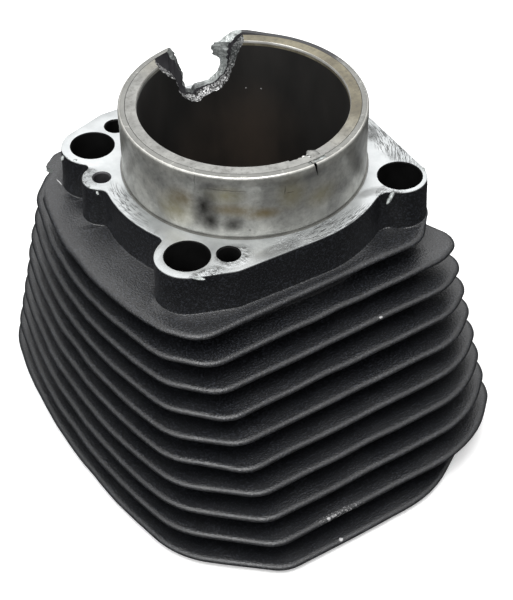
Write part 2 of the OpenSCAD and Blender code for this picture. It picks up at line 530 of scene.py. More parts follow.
def noise_of(tree, where, scale, detail=3, roughness=0.5):
    """Noise from 0 to 1. scale is its number of lumps in a metre."""
    made = add(tree, "TexNoise", {"Vector": where, "Scale": scale, "Detail": detail,
                                            "Roughness": roughness})
    return made.outputs["Fac"]


def remap(tree, value, low, high, out_low=0.0, out_high=1.0):
    """The value moved from the range low to high into the range out_low to out_high, and kept in it."""
    made = add(tree, "MapRange", {"Value": value, "From Min": low, "From Max": high,
                                            "To Min": out_low, "To Max": out_high})
    return made.outputs["Result"]


def mixed(tree, fac, a, b):
    """Colour a where fac is 0 and colour b where it is 1."""
    made = add(tree, "Mix", data_type="RGBA")
    for index, value in ((0, fac), (6, a), (7, b)):
        if isinstance(value, bpy.types.NodeSocket):
            tree.links.new(value, made.inputs[index])
        else:
            made.inputs[index].default_value = value
    return made.outputs[2]


def grey(value):
    return (value, value, value, 1)


def paint(tree, shader, colour):
    tree.links.new(colour, shader.inputs["Base Color"])


def roughen(tree, shader, value, low, high):
    """Roughness low and high where the value is at the ends of its middle range."""
    tree.links.new(remap(tree, value, *MIDDLE, low, high), shader.inputs["Roughness"])


def place_of(tree, scale=(1, 1, 1)):
    """The place on the object in metres, times scale."""
    where = add(tree, "TexCoord").outputs["Object"]
    return add(tree, "Mapping", {"Vector": where, "Scale": scale}).outputs["Vector"]


def math_of(tree, operation, *values):
    made = add(tree, "Math", dict(enumerate(values)), operation=operation)
    return made.outputs[0]


def vector_of(tree, operation, *values):
    made = add(tree, "VectorMath", dict(enumerate(values)), operation=operation)
    return made.outputs["Value" if operation == "LENGTH" else "Vector"]


def in_mm(tree):
    """The place on the object in millimetres, a little unsteady so that marks have ragged edges."""
    where = place_of(tree)
    shake = add(tree, "TexNoise", {"Vector": where, "Scale": RAGGED_SCALE, "Detail": 3.0})
    steady = vector_of(tree, "MULTIPLY", where, (1 / MM,) * 3)
    centred = vector_of(tree, "SUBTRACT", shake.outputs["Color"], (0.5, 0.5, 0.5))
    return vector_of(tree, "ADD", steady, centred)


def parts_of(tree, where):
    return add(tree, "SeparateXYZ", {"Vector": where}).outputs


def unrolled(tree, where):
    """The place on the spigot laid flat: distance round it and height over the flange."""
    parts = parts_of(tree, where)
    turn = math_of(tree, "ARCTAN2", parts["Y"], parts["X"])
    round_it = math_of(tree, "MULTIPLY", turn, SPIGOT_R)
    height = math_of(tree, "SUBTRACT", parts["Z"], DECK)
    return add(tree, "CombineXYZ", {"X": round_it, "Y": height}).outputs["Vector"]


def mark(tree, where, centre, size, soft=0.5):
    """1 within an oval of half-widths size, falling to 0 at its edge over the share soft."""
    away = vector_of(tree, "DIVIDE", vector_of(tree, "SUBTRACT", where, centre), size)
    return remap(tree, vector_of(tree, "LENGTH", away), 1, 1 - soft)


def marks(tree, where, ovals, soft=0.5):
    """The strongest of several marks."""
    found = [mark(tree, where, centre, size, soft) for centre, size in ovals]
    strongest = found[0]
    for value in found[1:]:
        strongest = math_of(tree, "MAXIMUM", strongest, value)
    return strongest


def on_wall(turn, height, half_width, half_height):
    """A mark's centre and size on the unrolled spigot."""
    return (math.radians(turn) * SPIGOT_R, height, 0), (half_width, half_height, 1)


# The scratches' number in a metre, how much they stretch round the axis, and how much they wander
SCRATCH_SCALE = 2200
SCRATCH_STRETCH = 0.005
SCRATCH_WANDER = 0.006


def scratches(tree, low, high):
    """Fine scratches that run round the bore axis. low and high are their noise's two thresholds."""
    where = add(tree, "TexCoord").outputs["Object"]
    parts = parts_of(tree, where)
    turn = math_of(tree, "ARCTAN2", parts["Y"], parts["X"])
    flat = vector_of(tree, "MULTIPLY", where, (1, 1, 0))
    reach = vector_of(tree, "LENGTH", flat)
    bent = math_of(tree, "MULTIPLY_ADD", noise_of(tree, where, 25, 2), SCRATCH_WANDER, reach)
    along = math_of(tree, "MULTIPLY", turn, SCRATCH_STRETCH)
    polar = add(tree, "CombineXYZ", {"X": along, "Y": bent}).outputs["Vector"]
    return remap(tree, noise_of(tree, polar, SCRATCH_SCALE), low, high)


def bump(tree, shader, height, distance, strength):
    """Relief from a height, distance metres deep."""
    made = add(tree, "Bump", {"Height": height, "Distance": distance, "Strength": strength})
    tree.links.new(made.outputs["Normal"], shader.inputs["Normal"])


COAT_TONES = ((0.005, 0.0054, 0.0066, 1), (0.028, 0.031, 0.038, 1))
COAT_GRAIN = 1200
BARE_METAL = grey(0.5)
# Chips to bare metal, and where it shows as dust along a fin's edge
COAT_CHIPS = [
    ((22.5, -75.1, 85.6), (1.1, 0.7, 0.8)), ((-22, -107.4, 15.6), (0.9, 0.8, 0.8)),
    ((-18.3, -111.5, 4.1), (1.1, 1.0, 1.2)), ((-65.3, 50, 109.1), (0.35, 3.0, 1.5)),
]
SPECKLED = ((-16, -107.5, 15.8), (15, 2.5, 2.5))


def coat_material():
    """Satin black textured coating over the casting, with chips to bare metal."""
    material, tree, shader = new_material("black_coat")
    where = place_of(tree)
    place_mm = in_mm(tree)
    grain = noise_of(tree, where, COAT_GRAIN, 2, 0.6)
    patches = noise_of(tree, where, 70, 4)
    colour = mixed(tree, remap(tree, grain, 0.5, 0.66), *COAT_TONES)
    chips = marks(tree, place_mm, COAT_CHIPS, 0.4)
    dusty = mark(tree, place_mm, *SPECKLED, 0.9)
    dust = math_of(tree, "MULTIPLY", dusty, remap(tree, grain, 0.54, 0.62))
    paint(tree, shader, mixed(tree, math_of(tree, "MAXIMUM", chips, dust), colour, BARE_METAL))
    roughen(tree, shader, patches, 0.3, 0.4)
    shader.inputs["Specular IOR Level"].default_value = 0.85
    bump(tree, shader, grain, 0.0003, 0.8)
    return material


MILLED_TONES = ((0.44, 0.46, 0.465, 1), (0.65, 0.67, 0.675, 1))
MILLED_DARK = (0.1, 0.1, 0.098, 1)
# Places on the flange: scratched strips, torn-up metal by the front oil hole and edges, greyer patches
SCRATCHED = [((8, -57, DECK), (32, 8, 3)), ((60, -20, DECK), (8, 26, 3)), ((-56, -2, DECK), (5, 20, 3))]
TORN = [
    ((OIL_X + 1, -OIL_Y - 2, DECK), (9, 7, 3)), ((42, -50, DECK), (7, 5, 5)), ((-63, 24, DECK), (6, 8, 3)),
    ((-50, -57, DECK), (9, 4, 4)), ((64, -25, DECK), (4, 9, 3)), ((56, -8, DECK), (4, 10, 3)),
]
FLANGE_PATCHES = [
    ((-17, -58, DECK), (12, 4, 2)), ((34, -46, DECK), (8, 3, 2)), ((56, -12, DECK), (5, 7, 2)),
]


def machined_material():
    """Bright milled gasket face, scratched along the spigot's front and right, and torn in places."""
    material, tree, shader = new_material("milled_face")
    where = place_of(tree)
    place_mm = in_mm(tree)
    clouds = noise_of(tree, where, 60, 5, 0.6)
    torn_grain = noise_of(tree, where, 480, 4, 0.7)
    colour = mixed(tree, remap(tree, clouds, 0.35, 0.65), *MILLED_TONES)
    strips = marks(tree, place_mm, SCRATCHED, 0.7)
    lines = math_of(tree, "MULTIPLY", strips, scratches(tree, 0.52, 0.6))
    torn = marks(tree, place_mm, TORN, 0.35)
    pits = math_of(tree, "MULTIPLY", torn, remap(tree, torn_grain, 0.48, 0.6))
    worn = math_of(tree, "MULTIPLY", marks(tree, place_mm, FLANGE_PATCHES, 0.5), 0.5)
    cuts = math_of(tree, "MULTIPLY", math_of(tree, "MAXIMUM", lines, pits), 0.8)
    paint(tree, shader, mixed(tree, math_of(tree, "MAXIMUM", cuts, worn), colour, MILLED_DARK))
    shader.inputs["Metallic"].default_value = 0.7
    roughen(tree, shader, clouds, 0.28, 0.45)
    relief = math_of(tree, "MULTIPLY_ADD", torn, math_of(tree, "MULTIPLY", torn_grain, 3), clouds)
    bump(tree, shader, math_of(tree, "SUBTRACT", relief, lines), 0.0003, 0.8)
    return material


# Marks on the spigot's wall: turn (degrees), height over the flange, half-width and half-height
DARK_SMUDGES = [on_wall(-138, 15, 6.5, 12), on_wall(-135, 8, 6, 7), on_wall(-125, 7.5, 6, 5)]
BROWN_STAINS = [on_wall(-123, 14.5, 13, 4), on_wall(-112, 12.5, 10, 4), on_wall(-149, 17, 8, 6)]
YELLOW_TINGE = [
    on_wall(-98, 21, 8, 10), on_wall(-82, 14, 10, 7), on_wall(-152, 10, 11, 10), on_wall(-128, 22, 10, 6),
]
GREY_CLOUDS = [
    on_wall(-70, 12, 13, 8), on_wall(-76, 4, 11, 5), on_wall(-54, 17, 10, 8), on_wall(-90, 26, 16, 3),
    on_wall(-160, 21, 11, 6), on_wall(-136, 26, 10, 3),
]
WALL_SCRATCHES = [
    on_wall(-141.7, 28, 0.3, 4), on_wall(-101.3, 22.5, 0.5, 2.4), on_wall(-117.3, 4.4, 0.7, 0.7),
    on_wall(-128, 24.5, 11, 0.3), on_wall(-99, 21, 2, 0.4),
]
# A painted dark reflection along the top of the rim's far side
FAR_RIM_DARK_REFLECTION = [on_wall(35, 32, 31, 4.5)]
# Each kind of mark's softness, strength and tone, from the lowest layer to the highest
WALL_LAYERS = [
    (YELLOW_TINGE, 0.9, 0.75, (0.38, 0.34, 0.19, 1)),
    (BROWN_STAINS, 0.8, 0.9, (0.24, 0.185, 0.085, 1)),
    (GREY_CLOUDS, 0.9, 0.65, (0.14, 0.14, 0.138, 1)),
    (DARK_SMUDGES, 0.95, 1.0, (0.03, 0.028, 0.024, 1)),
    (WALL_SCRATCHES, 0.5, 0.5, (0.04, 0.04, 0.04, 1)),
    (FAR_RIM_DARK_REFLECTION, 0.25, 1.0, (0.045, 0.045, 0.048, 1)),
]
# Marks softer than this are broken up by the clouds
CLOUDY = 0.6
TURNED_TONES = ((0.33, 0.33, 0.31, 1), (0.57, 0.57, 0.53, 1))
TURNED_PITS = (0.16, 0.16, 0.15, 1)
RIM_TONE = (0.17, 0.17, 0.16, 1)
# Painted shade in the corner at the spigot's root
ROOT_SHADE = (0.06, 0.06, 0.055, 1)


def spigot_material():
    """Turned aluminium, clouded and stained with oil, with a painted dark reflection on the far side of its
    rim and painted shade at its root.
    """
    material, tree, shader = new_material("turned_aluminium")
    where = place_of(tree)
    wall = unrolled(tree, in_mm(tree))
    clouds = noise_of(tree, where, 75, 7, 0.7)
    fine = noise_of(tree, where, 420, 4, 0.65)
    height = parts_of(tree, wall)["Y"]
    rim = TOP - DECK
    colour = mixed(tree, remap(tree, clouds, 0.36, 0.62), *TURNED_TONES)
    colour = mixed(tree, remap(tree, fine, 0.45, 0.7, 0, 0.4), colour, TURNED_PITS)
    colour = mixed(tree, remap(tree, height, rim - 0.3, rim - 0.1, 0, 0.85), colour, RIM_TONE)
    for ovals, soft, strength, tone in WALL_LAYERS:
        shape = marks(tree, wall, ovals, soft)
        if soft > CLOUDY:
            shape = math_of(tree, "MULTIPLY", shape, remap(tree, clouds, 0.66, 0.42, 0.55, 1))
        colour = mixed(tree, math_of(tree, "MULTIPLY", shape, strength), colour, tone)
    # painted shade darkens the wall's foot where it meets the flange
    paint(tree, shader, mixed(tree, remap(tree, height, 0.9, 0.3, 0, 0.6), colour, ROOT_SHADE))
    shader.inputs["Metallic"].default_value = 0.45
    roughen(tree, shader, clouds, 0.45, 0.3)
    bump(tree, shader, fine, 0.00015, 0.7)
    return material


SEAT_TONES = ((0.045, 0.044, 0.05, 1), (0.09, 0.088, 0.095, 1))
# Near-black tones: old oil, darkened further as painted shade of the deep holes
HOLE_OIL_AND_SHADE_TONES = (grey(0.002), grey(0.006))


def patchy_material(name, scale, tones, roughness, metallic, specular):
    """Bare metal in soft patches of two tones, which also differ in roughness."""
    material, tree, shader = new_material(name)
    patches = noise_of(tree, place_of(tree), scale, 4)
    paint(tree, shader, mixed(tree, remap(tree, patches, *MIDDLE), *tones))
    roughen(tree, shader, patches, *roughness)
    shader.inputs["Metallic"].default_value = metallic
    shader.inputs["Specular IOR Level"].default_value = specular
    return material


def seat_material():
    """The liner's seat in the casting, smooth and dark, seen where the liner has broken away."""
    return patchy_material("dark_seat", 120, SEAT_TONES, (0.4, 0.6), 0.3, 0.5)


def hole_material():
    """Walls of the stud and oil holes and of the crack, black with old oil and darkened further to near
    black as painted shade.
    """
    return patchy_material("oily_hole", 90, HOLE_OIL_AND_SHADE_TONES, (0.55, 0.8), 0.0, 0.15)


# Broken metal: its tones, its grain's scale and two thresholds, and the places that have another tone.
# The casting's break is darker at the fracture's foot and left, the liner's is duller on its right.
BROKEN_ALUMINIUM = {
    "tones": ((0.22, 0.235, 0.23, 1), (0.5, 0.53, 0.52, 1)),
    "scale": 450.0,
    "contrast": (0.35, 0.6),
    "places": [((2, 50, 133), (12, 9, 8)), ((-5, 51, 146), (5, 8, 12))],
    "place_tone": (0.035, 0.036, 0.038, 1),
}
BROKEN_IRON = {
    "tones": (grey(0.03), grey(0.85)),
    "scale": 1000.0,
    "contrast": (0.47, 0.6),
    "places": [((20.5, 42, 152), (9, 8, 13))],
    "place_tone": (0.07, 0.078, 0.076, 1),
}
CRYSTAL_SCALE = 1.5


def broken_material(name, tones, scale, contrast, places, place_tone):
    """Crystalline broken metal."""
    material, tree, shader = new_material(name)
    where = place_of(tree)
    crystals = add(tree, "TexVoronoi", {"Vector": where, "Scale": scale * CRYSTAL_SCALE})
    patches = noise_of(tree, where, scale, 3, 0.7)
    colour = mixed(tree, remap(tree, patches, *contrast), *tones)
    dull = math_of(tree, "MULTIPLY", marks(tree, in_mm(tree), places, 0.7), 0.75)
    paint(tree, shader, mixed(tree, dull, colour, place_tone))
    shader.inputs["Metallic"].default_value = 0.5
    shader.inputs["Roughness"].default_value = 0.35
    bump(tree, shader, crystals.outputs["Distance"], 0.00035, 0.9)
    return material


CLEAN_TONES = ((0.2, 0.2, 0.19, 1), (0.38, 0.38, 0.36, 1))
TAN_TONES = ((0.13, 0.115, 0.08, 1), (0.27, 0.245, 0.175, 1))
IRON_PITS = (0.07, 0.065, 0.055, 1)
# The rim turns from clean to oily between these distances to the right, in metres
OILY = (-0.012, 0.022)


def iron_material():
    """Turned iron rim of the liner, grey in front and tan with old oil behind and on its right."""
    material, tree, shader = new_material("liner_rim")
    where = place_of(tree)
    patches = noise_of(tree, where, 90, 5, 0.65)
    fine = noise_of(tree, where, 600, 3, 0.6)
    parts = parts_of(tree, where)
    rightward = math_of(tree, "ADD", parts["X"], math_of(tree, "MULTIPLY", parts["Y"], 0.5))
    patchy = remap(tree, patches, 0.35, 0.65)
    clean = mixed(tree, patchy, *CLEAN_TONES)
    tan = mixed(tree, patchy, *TAN_TONES)
    colour = mixed(tree, remap(tree, rightward, *OILY), clean, tan)
    paint(tree, shader, mixed(tree, remap(tree, fine, 0.5, 0.72, 0, 0.5), colour, IRON_PITS))
    shader.inputs["Metallic"].default_value = 0.4
    roughen(tree, shader, patches, 0.35, 0.55)
    bump(tree, shader, fine, 0.0002, 0.6)
    return material


# Tones of the painted highlight
HIGHLIGHT_TONES = ((0.55, 0.54, 0.5, 1), (0.85, 0.84, 0.8, 1))


def highlight_material():
    """Painted highlight: bright, smooth metal where a glint of light falls, on the lead-in at the bore's
    mouth and the shoulder of the spigot's rim.
    """
    material, tree, shader = new_material("polished_edge")
    patches = noise_of(tree, place_of(tree), 150, 3)
    paint(tree, shader, mixed(tree, remap(tree, patches, *MIDDLE), *HIGHLIGHT_TONES))
    shader.inputs["Metallic"].default_value = 0.6
    shader.inputs["Roughness"].default_value = 0.3
    return material


BORE_TONES = ((0.014, 0.0136, 0.013, 1), (0.026, 0.0245, 0.023, 1))
BORE_WARM_REFLECTION = (0.07, 0.052, 0.039, 1)
SPECK_TONE = grey(0.4)
# Bright specks on the bore's far wall, and the place of its painted warm reflection
BORE_SPECKS = [((22.8, 38.2, 134.4), (0.45, 0.45, 0.45)), ((28.3, 34.3, 134.3), (0.35, 0.35, 0.35))]
BORE_REFLECTION_PLACE = ((20, 36, 90), (44, 30, 52))


def bore_material():
    """Honed bore, nearly black, with a painted warm reflection halfway down."""
    material, tree, shader = new_material("honed_bore")
    place_mm = in_mm(tree)
    patches = noise_of(tree, place_of(tree, (1, 1, 0.4)), 70, 4)
    colour = mixed(tree, remap(tree, patches, *MIDDLE), *BORE_TONES)
    # a painted warm reflection on the far wall, broken up by the patches
    reflection_place = mark(tree, place_mm, *BORE_REFLECTION_PLACE, 0.9)
    warm_reflection = math_of(tree, "MULTIPLY", reflection_place, remap(tree, patches, 0.2, 0.7))
    colour = mixed(tree, warm_reflection, colour, BORE_WARM_REFLECTION)
    paint(tree, shader, mixed(tree, marks(tree, place_mm, BORE_SPECKS, 0.3), colour, SPECK_TONE))
    shader.inputs["Roughness"].default_value = 0.5
    bump(tree, shader, noise_of(tree, place_of(tree, (1, 1, 6)), 500, 2), 0.0001, 0.3)
    return material


# ---------------- the casting
# Material slots of the casting; the last one is a painted highlight
COAT, FACE, TURNED, BROKEN, HOLE, SEAT, HIGHLIGHT = range(7)
# How far the flange's wall leans out on its way down, and how far the core between the fins is inside it
DRAFT = 0.6
CORE_INSET = 0.9
# The spigot's rounded rim, with the steps of it that carry a painted highlight, and the lip below it
RIM_WIDTH = 1.5
RIM_HEIGHT = 1.2
RIM_STEPS = 10
RIM_HIGHLIGHT_STEPS = (3, 4)
LIP = 5.3
LIP_STEP = 0.2
# Burrs: how far the torn edge reaches out and up, and how near to a burr it is torn
BURR_OUT = 1.6
BURR_UP = 0.5
BURR_FADE = (0.5, 3)
BURR_SCALE = 60
BURR_SEED = 3
# Fins: their rounded edge, their root's fillet, and their unevenness in height and reach
TIP_ROUND = 2.6
TIP_STEPS = 8
FILLET = 2.4
FIRST_FILLET = 0.9
LAST_FILLET_BELOW = 0.2
BARE_ROOT = 0.4
SHORTEST_FIN = 0.6
DEEP_FIN = 30
HEIGHT_WAVER, HEIGHT_SEED = 0.12, 200
REACH_WAVER, REACH_SEED = 0.18, 100


def ring(radius, height):
    """The skin's points at a radius and a height, each one number or one for every direction."""
    r = np.broadcast_to(radius, TURN.shape)
    z = np.broadcast_to(height, TURN.shape)
    return np.stack([r * COS, r * SIN, z], axis=1)


def burrs(radius, height):
    """The flange's top edge with torn lips of metal near the burrs."""
    near = np.zeros_like(TURN)
    for b in BURR_TURNS:
        away = np.degrees(np.abs((TURN - math.radians(b) + math.pi) % (2 * math.pi) - math.pi))
        near = np.maximum(near, 1 - smooth(away, *BURR_FADE))
    ragged = np.array([noise.noise(Vector((a * BURR_SCALE, 0, BURR_SEED))) for a in TURN])
    return radius + near * ragged * BURR_OUT, height + near * np.abs(ragged) * BURR_UP


def fin_rings(k, core, largest_fillet=FILLET):
    """Rings over one fin, from the core above it, round its edge and back to the core below it. A fin
    with the full fillet is thicker at its root."""
    middle = blend(FIRST_FIN, LAST_FIN, k / (FIN_COUNT - 1)) + HEIGHT_WAVER * waves(HEIGHT_SEED + k)
    uneven = radii(fin_outline(k)) + REACH_WAVER * waves(REACH_SEED + k)
    tip = np.maximum(uneven, core + SHORTEST_FIN)
    width = tip - core
    fillet = np.minimum(largest_fillet, 0.4 * width)
    edge = np.minimum(TIP_ROUND, 0.45 * width)
    thicker = np.clip(width / DEEP_FIN, 0, 1) if largest_fillet == FILLET else 0
    root = blend(FIN_TIP, FIN_ROOT, thicker)
    fillet_below, root_below = fillet, root
    if k == FIN_COUNT - 1:
        fillet_below = np.minimum(LAST_FILLET_BELOW, fillet)
        root_below = np.minimum(root, LAST_FIN - BARE_ROOT)
    rings = [
        (core, middle + root + fillet),
        (core + 0.3 * fillet, middle + root + 0.3 * fillet),
        (core + fillet, middle + root),
        (core + 0.5 * width, middle + blend(FIN_TIP, root, 0.5)),
    ]
    for i in range(TIP_STEPS + 1):
        a = math.pi * (0.5 - i / TIP_STEPS)
        rings.append((tip - edge + edge * math.cos(a), middle + FIN_TIP * math.sin(a)))
    rings += [
        (core + 0.5 * width, middle - blend(FIN_TIP, root_below, 0.5)),
        (core + fillet_below, middle - root_below),
        (core + 0.3 * fillet_below, middle - root_below - 0.3 * fillet_below),
        (core, middle - root_below - fillet_below),
    ]
    return [ring(r, z) for r, z in rings]


def casting(materials):
    """The casting before anything is cut out of it, from its seat's top edge down and back up the seat."""
    flange = radii(flange_outline())
    core = flange - CORE_INSET
    rings, kinds = [], []

    def put(radius, height, kind):
        rings.append(ring(radius, height))
        kinds.append(kind)

    # the seat's top edge, the rounded rim and the spigot's lip and wall
    put(LINER_R, TOP - 0.5, SEAT)
    put(LINER_R + 0.12, TOP - 0.03, TURNED)
    for i in range(RIM_STEPS + 1):
        a = math.radians(90 * (1 - i / RIM_STEPS))
        # the shining steps of the rim get the painted highlight
        kind = HIGHLIGHT if i in RIM_HIGHLIGHT_STEPS else TURNED
        put(SPIGOT_R - RIM_WIDTH * (1 - math.cos(a)), TOP - RIM_HEIGHT * (1 - math.sin(a)), kind)
    put(SPIGOT_R, TOP - LIP + 0.4, TURNED)
    put(SPIGOT_R - LIP_STEP, TOP - LIP, TURNED)
    put(SPIGOT_R - LIP_STEP, blend(DECK, TOP, 0.5), TURNED)
    put(SPIGOT_R - LIP_STEP, DECK + 1.2, TURNED)
    put(SPIGOT_R - LIP_STEP - 0.35, DECK + 0.7, TURNED)
    put(SPIGOT_R - LIP_STEP - 0.3, DECK - 0.25, TURNED)
    put(SPIGOT_R + 0.3, DECK - 0.3, FACE)
    put(SPIGOT_R + 0.6, DECK, FACE)
    # the gasket face and its edge
    put(np.minimum(SPIGOT_R + 4, flange - 1), DECK, FACE)
    put(flange - 0.5, DECK, FACE)
    put(*burrs(flange - 0.12, DECK - 0.1), FACE)
    put(flange, DECK - 0.45, COAT)
    # the wall down to the first fin
    put(flange + 0.2, DECK - 4, COAT)
    put(flange + 0.4 * DRAFT, DECK - 9, COAT)
    # the first fin's top has a tight corner with the wall, and the core below it is slimmer
    upper_half = 4 + TIP_STEPS // 2
    first_fin = fin_rings(0, flange + DRAFT, FIRST_FILLET)[:upper_half] + fin_rings(0, core)[upper_half:]
    fins = first_fin + [points for k in range(1, FIN_COUNT) for points in fin_rings(k, core)]
    rings += fins
    kinds += [COAT] * len(fins)
    # the head-gasket face and the liner's seat
    put(core, 0.3, FACE)
    put(core - 0.3, 0, FACE)
    put(LINER_R + 0.3, 0, TURNED)
    put(LINER_R, 0.3, SEAT)
    put(LINER_R, blend(0, TOP, 0.5), SEAT)
    return skin("barrel_casting_skin", rings, kinds, materials)


def hole(x, y, r, low, high, chamfer, material, cone=0.0):
    """A drilled hole's solid. It runs past the faces at both ends, or has a cone at its lower end."""
    past = 1.0
    bottom = [(0, low - past), (r + chamfer + past, low - past), (r, low + chamfer)]
    if cone:
        bottom = [(0, low - cone), (r, low)]
    top = [(r, high - chamfer), (r + chamfer + past, high + past), (0, high + past)]
    return lathe(bottom + top, (x, y), material)


HOLE_CHAMFER = 0.4
SMALL_CHAMFER = 0.6
DRILL_TIP = 2.0

# The corner broken out of the first fin, in plan. Its first sides are ragged and cross the fin.
BROKEN_CORNER = [
    (-84, 42), (-75.8, 44.5), (-73, 48.5), (-70, 52.5), (-66.5, 56.5), (-63.8, 58.8),
    (-65.6, 63.4), (-61.5, 67), (-58.5, 69.5), (-60, 82), (-88, 76),
]
RAGGED_SIDES = 8
CORNER_STEP = 0.7
CORNER_HALF = 4
CORNER_ROUGH = 0.7


def corner_solid(material):
    """The piece missing from the first fin's corner, with ragged sides."""
    outline = []
    for i, (x, y) in enumerate(BROKEN_CORNER):
        nx, ny = BROKEN_CORNER[(i + 1) % len(BROKEN_CORNER)]
        steps = max(1, int(math.hypot(nx - x, ny - y) / CORNER_STEP)) if i < RAGGED_SIDES else 1
        outline += [(blend(x, nx, s / steps), blend(y, ny, s / steps)) for s in range(steps)]
    heights = np.arange(FIRST_FIN - CORNER_HALF, FIRST_FIN + CORNER_HALF + 0.1, CORNER_STEP)
    return loft([[rough((x, y, z), CORNER_ROUGH) for x, y in outline] for z in heights], material)


# The crack's corners as turn (degrees) and depth below the rim
CRACK = [(-87.1, -1), (-86.2, 3), (-84.9, 6.5), (-85.4, 3), (-85.6, -1)]


def crack_solid(material):
    """The wedge-shaped crack that runs down the spigot from the chipped rim."""
    sections = []
    for r in (LINER_R - 0.5, blend(LINER_R, SPIGOT_R, 0.5), SPIGOT_R + 1):
        turned = [(math.radians(a), TOP - depth) for a, depth in CRACK]
        sections.append([(r * math.cos(a), r * math.sin(a), z) for a, z in turned])
    return loft(sections, material)


# Torn flakes and nicks on the flange's edge: turn, reach, then half-width, half-depth and half-height
FLAKES = [
    (-54.5, 66.6, (3.6, 0.8, 0.6)), (-51.5, 66.3, (2.6, 1.1, 0.9)), (147.9, 78.2, (1.8, 0.7, 0.5)),
    (-133.2, 78.5, (2.6, 0.9, 0.5)), (-30, 67.9, (1.6, 0.5, 0.4)), (-35.7, 76.6, (1.6, 0.5, 0.4)),
    (148.9, 72.4, (0.9, 0.9, 0.35)), (164.3, 67.4, (1.4, 0.6, 0.5)), (169.2, 65.2, (1.2, 0.6, 0.4)),
    (-156.9, 60.3, (1.0, 0.5, 0.4)),
]
FLAKE_DEPTH = 0.2
FLAKE_ROUGH = 0.5

# The rim is bent outwards round this turn (degrees), by so much at the top, fading round it and downwards
BEND_TURN = 62
BEND_OUT = 2.0
BEND_SPREAD = 9
BEND_HEIGHT = 14


def bend_rim(obj):
    """Bends the casting's rim outwards beside the fracture."""
    for v in obj.data.vertices:
        x, y, z = v.co / MM
        lift = float(smooth(z, TOP - BEND_HEIGHT, TOP))
        if lift > 0:
            r, a = math.hypot(x, y), math.degrees(math.atan2(y, x))
            push = BEND_OUT * math.exp(-(((a - BEND_TURN) / BEND_SPREAD) ** 2)) * lift
            v.co += Vector((x / r, y / r, 0)) * push * MM


# The casting's part of the chip in the rim: turns (degrees), reaches and heights
CASTING_CHIP = ((-88.5, -79), (LINER_R - 1, LINER_R + 1.6), (TOP - 0.7, TOP + 2))
CASTING_CHIP_ROUGH = 0.7


def build_casting():
    """The casting's skin, with its holes, its damage and its torn flakes."""
    broken = broken_material("broken_aluminium", **BROKEN_ALUMINIUM)
    materials = [coat_material(), machined_material(), spigot_material(), broken, hole_material()]
    materials += [seat_material(), highlight_material()]
    obj = casting(materials)
    studs = [(sx * STUD_X, sy * STUD_Y) for sx in (-1, 1) for sy in (-1, 1)]
    dowel_bottom = DECK - DOWEL_DEPTH
    solids = [hole(x, y, STUD_R, 0, DECK, HOLE_CHAMFER, HOLE) for x, y in studs]
    solids += [hole(OIL_X, sy * OIL_Y, OIL_R, 0, DECK, SMALL_CHAMFER, HOLE) for sy in (-1, 1)]
    solids.append(hole(DOWEL_X, DOWEL_Y, DOWEL_R, dowel_bottom, DECK, SMALL_CHAMFER, SEAT, DRILL_TIP))
    solids.append(break_solid(LINER_R, SPIGOT_R, SEAT_SHARE, 1.0, BROKEN))
    solids.append(corner_solid(BROKEN))
    solids.append(sector(*CASTING_CHIP, CASTING_CHIP_ROUGH, BROKEN))
    # the crack's walls get the near-black hole material, painted shade
    solids.append(crack_solid(HOLE))
    combine(obj, solids, "casting_cuts")
    flakes = [
        lump(turn, reach, DECK - FLAKE_DEPTH, size, FLAKE_ROUGH, BROKEN) for turn, reach, size in FLAKES
    ]
    combine(obj, flakes, "casting_flakes", "UNION")
    bend_rim(obj)
    finish_shading(obj)
    return obj


# ---------------- the liner
LINER_SIDES = 360
# Material slots of the liner; the last one is a painted highlight
RIM, BORE, CRUMBLED, LEAD_IN_HIGHLIGHT = range(4)
# Share of the way out at which the liner's break ends
LINER_SHARE = 0.25
# The liner's part of the chip in the rim: turns (degrees), reaches, heights and roughness
LINER_CHIPS = [
    ((-96, -84.5), (BORE_R - 2, BORE_R + 1.1), (TOP - 1.1, TOP + 2), 0.8),
    ((-85.5, -79.6), (BORE_R - 2, BORE_R + 3.6), (TOP - 2.0, TOP + 2), 0.9),
]
# Crumbs left in the chip: turn, reach, height, size, roughness and material
CRUMBS = [
    (-82, BORE_R + 1.7, TOP - 1.0, (2.9, 3.4, 1.35), 1.3, RIM),
    # this crumb carries the painted highlight material
    (-87.5, BORE_R + 0.8, TOP - 0.6, (0.8, 0.7, 0.7), 0.4, LEAD_IN_HIGHLIGHT),
    (-85.6, BORE_R + 1.8, TOP - 0.7, (1.0, 1.5, 0.7), 0.8, CRUMBLED),
]


